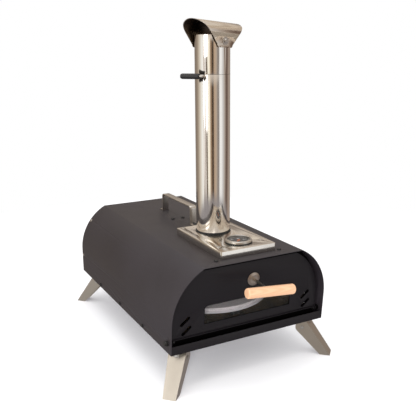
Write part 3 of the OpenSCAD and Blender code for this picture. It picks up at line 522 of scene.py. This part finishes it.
def smoke_cap_inside():
    """Gives the faces of the rain cap that look towards the flue their smoked finish."""
    mesh = bpy.data.objects["rain_cap_formed"].data
    mesh.materials.append(smoked_steel)
    mouth = Vector((0, pipe_y, flue_top_z - 20 * MM))
    facing = 0.25   # cosine of the widest angle at which a face still catches the smoke
    for face in mesh.polygons:
        towards = mouth - face.center
        towards.z = min(towards.z, 0)
        if face.normal.dot(towards.normalized()) > facing:
            face.material_index = 1


smoke_cap_inside()

# ---------- fine details ----------


def islands(node):
    """Boxes of a node's separate solids, as (low, high) pairs."""
    per_metre = 20000   # corners closer than 0.05 mm count as one
    root = {}

    def find(a):
        while root.setdefault(a, a) != a:
            a = root[a]
        return a

    mesh = nodes[node].data
    spot = [tuple(round(c * per_metre) for c in v.co) for v in mesh.vertices]
    for face in mesh.polygons:
        first = find(spot[face.vertices[0]])
        for v in face.vertices[1:]:
            root[find(spot[v])] = first
    groups = {}
    for v, key in zip(mesh.vertices, spot):
        groups.setdefault(find(key), []).append(v.co)
    return [(Vector(min(c[i] for c in group) for i in range(3)),
             Vector(max(c[i] for c in group) for i in range(3))) for group in groups.values()]


def paint_recess_shade(node, axis, size):
    """Dark crosses, size wide, on the heads of a node's screws, which face along the axis: painted shade
    standing in for their cross recesses.
    """
    axis = Vector(axis)
    bar_thickness, bar_width, chamfer = 0.25 * MM, size * 0.22, 0.075 * MM
    bars = []
    for low, high in islands(node):
        centre = (low + high) / 2
        outward = axis if axis.dot(centre) >= 0 or axis.z else -axis
        face = max(outward.dot(low), outward.dot(high))
        spot = centre + outward * (face - outward.dot(centre) - bar_thickness / 3)
        turn = outward.to_track_quat("Z", "Y").to_matrix().to_4x4()
        for angle in (20, 110):
            bpy.ops.mesh.primitive_cube_add(size=1)
            bar = bpy.context.object
            bar.data.transform(Matrix.Diagonal((size, bar_width, bar_thickness, 1)))
            edit(bar, lambda: bpy.ops.mesh.bevel(offset=chamfer, segments=1))
            spin = Matrix.Rotation(math.radians(angle), 4, "Z")
            bar.data.transform(Matrix.Translation(spot) @ turn @ spin)
            bars.append(bar)
    # painted shade: the dark bars stand just proud of the heads instead of being cut into them
    settle(join(bars), node + "_painted_recess_shade", body_of[node], black_oxide)


deselect()
# painted shade for the screws' cross recesses
paint_recess_shade("roof_screws", (0, 0, 1), 4.2 * MM)
paint_recess_shade("carrying_handle_screws", (0, 0, 1), 5 * MM)
paint_recess_shade("base_plate_screws", (0, 0, 1), 4 * MM)
paint_recess_shade("tray_side_screws", (1, 0, 0), 4 * MM)


def flue_seam():
    """Dark line of heat tint where the chimney's upper section meets the lower one."""
    bpy.ops.mesh.primitive_torus_add(major_segments=96, minor_segments=8, major_radius=40.55 * MM,
                                     minor_radius=0.28 * MM, location=(0, pipe_y, seam_z))
    seam = bpy.context.object
    smooth(seam, 60)
    settle(seam, "chimney_seam_line", body_of["upper_pipe"], black_oxide)


def dial_scale():
    """Ticks and plain numbers printed round the thermometer's face."""
    low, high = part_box("gauge_dial")
    centre = middle("gauge_dial")
    radius = (high[0] - low[0]) / 2
    top = low[2] + 1 * MM
    ticks, long_every = 51, 10
    first, step = 225, 5.4      # degrees
    marks = []

    def at(out, angle):
        return Matrix.Translation((centre.x + out * math.cos(angle), centre.y + out * math.sin(angle), top))

    for i in range(ticks):
        angle = math.radians(first - i * step)
        long = i % long_every == 0
        length, width = (3.6 * MM, 0.7 * MM) if long else (1.8 * MM, 0.35 * MM)
        bpy.ops.mesh.primitive_cube_add(size=1)
        tick = bpy.context.object
        tick.data.transform(Matrix.Diagonal((length, width, 0.08 * MM, 1)))
        tick.data.transform(at(radius - 1.2 * MM - length / 2, angle) @ Matrix.Rotation(angle, 4, "Z"))
        marks.append(tick)
        if long:
            bpy.ops.object.text_add()
            number = bpy.context.object
            number.data.body = str(i * 10)
            number.data.size = 5.2 * MM
            number.data.extrude = 0.03 * MM
            number.data.align_x = number.data.align_y = "CENTER"
            pick(number)
            bpy.ops.object.convert(target="MESH")
            number = bpy.context.object
            number.data.transform(at(radius - 8.6 * MM, angle))
            marks.append(number)
    settle(join(marks), "gauge_scale", body_of["gauge_dial"], white_print)


flue_seam()
dial_scale()

# ---------- studio ----------


def aim_camera():
    """Stands the camera left of the front and above it, looking down at the door."""
    yaw, down, roll = math.radians(28.36), math.radians(14.21), math.radians(-0.38)
    data = bpy.data.cameras.new("camera")
    data.lens, data.sensor_width, data.clip_end = 52.57, 36, 50
    camera = bpy.data.objects.new("camera", data)
    bpy.context.scene.collection.objects.link(camera)
    ahead = Vector((math.sin(yaw) * math.cos(down), math.cos(yaw) * math.cos(down), -math.sin(down)))
    right = Vector((math.cos(yaw), -math.sin(yaw), 0))
    up = right.cross(ahead)
    across = math.cos(roll) * right + math.sin(roll) * up
    upright = math.cos(roll) * up - math.sin(roll) * right
    camera.matrix_world = Matrix((across, upright, -ahead)).transposed().to_4x4()
    camera.location = (-0.684, front_y - 1.0655, 0.707)
    bpy.context.scene.camera = camera


def floor():
    """Pale matt disc under the feet, left out of reflections. It glows faintly lavender, painted light that
    lifts and tints the shadows on it.
    """
    bpy.ops.mesh.primitive_circle_add(vertices=96, radius=1.5, fill_type="NGON", location=(0, 0, 0))
    obj = bpy.context.object
    obj.name = "studio_floor"
    p = Paint("pale_floor")
    # painted light: a faint lavender glow lightens and tints the shadow under the oven
    p.set(Base_Color=p.ramp(p.noise(3), (0.4, (0.86, 0.86, 0.86)), (0.6, (0.88, 0.88, 0.88))),
          Roughness=0.9, Specular_IOR_Level=0.1, Emission_Color=(0.92, 0.88, 1.0),
          Emission_Strength=0.13)
    obj.data.materials.append(p.mat)
    obj.visible_glossy = False


FLUE_CARDS = (
    # degrees to the right of the camera, as the chimney mirrors them, and the card's colour
    (-180, (0.30, 0.25, 0.21)), (-135, (0.27, 0.22, 0.18)), (-112, (0.40, 0.33, 0.26)),
    (-92, (0.75, 0.68, 0.58)), (-70, (1.10, 1.12, 1.10)), (-61, (1.08, 1.04, 1.0)),
    (-57, (0.30, 0.22, 0.17)), (-53, (1.0, 0.95, 0.9)), (-46, (1.05, 1.03, 1.0)),
    (-41, (0.14, 0.10, 0.07)), (-35, (0.14, 0.10, 0.07)), (-31, (1.2, 1.16, 1.02)),
    (-20, (1.2, 1.12, 0.95)), (-13, (0.42, 0.30, 0.20)), (-6, (0.30, 0.20, 0.13)),
    (-1, (0.05, 0.035, 0.025)), (5, (0.06, 0.04, 0.03)), (11, (0.60, 0.44, 0.31)),
    (26, (0.55, 0.46, 0.38)), (34, (0.30, 0.27, 0.26)), (42, (0.30, 0.27, 0.26)),
    (48, (1.08, 1.10, 1.12)), (60, (1.05, 1.06, 1.08)), (72, (0.70, 0.70, 0.71)),
    (88, (0.46, 0.39, 0.34)), (100, (0.16, 0.11, 0.09)), (112, (0.17, 0.12, 0.10)),
    (128, (0.42, 0.34, 0.29)), (180, (0.30, 0.25, 0.21)),
)
SKY_BANDS = (
    # share of the way from CARD_HIGH to straight up, and the colour there
    (0.0, (0.88, 0.85, 0.80)), (0.13, (0.84, 0.76, 0.68)), (0.25, (0.40, 0.31, 0.25)),
    (0.36, (1.05, 0.98, 0.86)), (0.47, (0.42, 0.33, 0.26)), (0.60, (0.95, 0.90, 0.82)),
    (0.80, (0.72, 0.69, 0.68)), (1.0, (0.85, 0.83, 0.84)),
)
GROUND, WHITE = (0.34, 0.32, 0.33, 1), (1, 1, 1, 1)
CARD_LOW, CARD_HIGH = -0.38, 0.28      # sine of the elevations between which the cards stand
FADE_LOW, FADE_HIGH = 0.07, 0.08       # how softly the cards end, on the same scale
CAMERA_SIDE = math.radians(-90 - 28.9)  # where the camera stands, seen from the chimney


def studio_world():
    """White all round, with dark and warm cards that only reflections see."""
    world = bpy.data.worlds.new("studio")
    bpy.context.scene.world = world
    world.use_nodes = True
    tree = world.node_tree
    back = tree.nodes["Background"]

    def fill(socket, value):
        if isinstance(value, bpy.types.NodeSocket):
            tree.links.new(value, socket)
        else:
            socket.default_value = value

    def add(kind, *values):
        node = tree.nodes.new(kind)
        for socket, value in zip(node.inputs, values):
            fill(socket, value)
        return node

    def sum_of(operation, a, b):
        node = add("ShaderNodeMath", a, b)
        node.operation = operation
        return node.outputs[0]

    def stops(value, table, low, high):
        node = add("ShaderNodeValToRGB", value)
        for _ in table[2:]:
            node.color_ramp.elements.new(0.5)
        for e, (place, colour) in zip(node.color_ramp.elements, table):
            e.position, e.color = (place - low) / (high - low), (*colour, 1)
        return node.outputs["Color"]

    def blend(factor, a, b):
        node = tree.nodes.new("ShaderNodeMix")
        node.data_type = "RGBA"
        for socket, value in ((node.inputs[0], factor), (node.inputs[6], a), (node.inputs[7], b)):
            fill(socket, value)
        return node.outputs[2]

    way = add("ShaderNodeSeparateXYZ", tree.nodes.new("ShaderNodeTexCoord").outputs["Generated"])
    turn = sum_of("ARCTAN2", way.outputs["Y"], way.outputs["X"])
    turn = sum_of("SUBTRACT", turn, CAMERA_SIDE - math.pi)
    turn = sum_of("FLOORED_MODULO", turn, 2 * math.pi)
    cards = stops(sum_of("DIVIDE", turn, 2 * math.pi), FLUE_CARDS, -180, 180)
    height = add("ShaderNodeMapRange", way.outputs["Z"], CARD_HIGH, 1, 0, 1)
    sky = stops(height.outputs[0], SKY_BANDS, 0, 1)
    above = add("ShaderNodeMapRange", way.outputs["Z"], CARD_HIGH, CARD_HIGH + FADE_HIGH, 0, 1)
    below = add("ShaderNodeMapRange", way.outputs["Z"], CARD_LOW, CARD_LOW - FADE_LOW, 0, 1)
    studio = blend(below.outputs[0], blend(above.outputs[0], cards, sky), GROUND)
    light_path = tree.nodes.new("ShaderNodeLightPath")
    fill(back.inputs["Color"], blend(light_path.outputs["Is Glossy Ray"], WHITE, studio))
    back.inputs["Strength"].default_value = 1.0
    world.cycles.sampling_method = "NONE"


def softbox(name, at, towards, size, power, mirrored=True):
    """A soft rectangular lamp. One that isn't mirrored stays out of reflections."""
    light = bpy.data.lights.new(name, "AREA")
    light.shape = "RECTANGLE"
    light.size, light.size_y = size
    light.energy = power
    obj = bpy.data.objects.new(name, light)
    bpy.context.scene.collection.objects.link(obj)
    obj.location = at
    obj.visible_glossy = mirrored
    obj.rotation_mode = "QUATERNION"
    obj.rotation_quaternion = (Vector(at) - Vector(towards)).to_track_quat("Z", "Y")


deselect()
aim_camera()
floor()
studio_world()
softbox("overhead", (-0.3, -0.2, 2.6), (0, 0, 0.2), (1.8, 1.8), 22)
softbox("left", (-2.6, -0.9, 1.3), (0, 0, 0.25), (1.2, 1.6), 12)
softbox("window", (-1.55, -2.6, 1.05), (0, -0.15, 0.13), (0.5, 0.5), 42, False)

bpy.context.scene.view_settings.view_transform = "Standard"
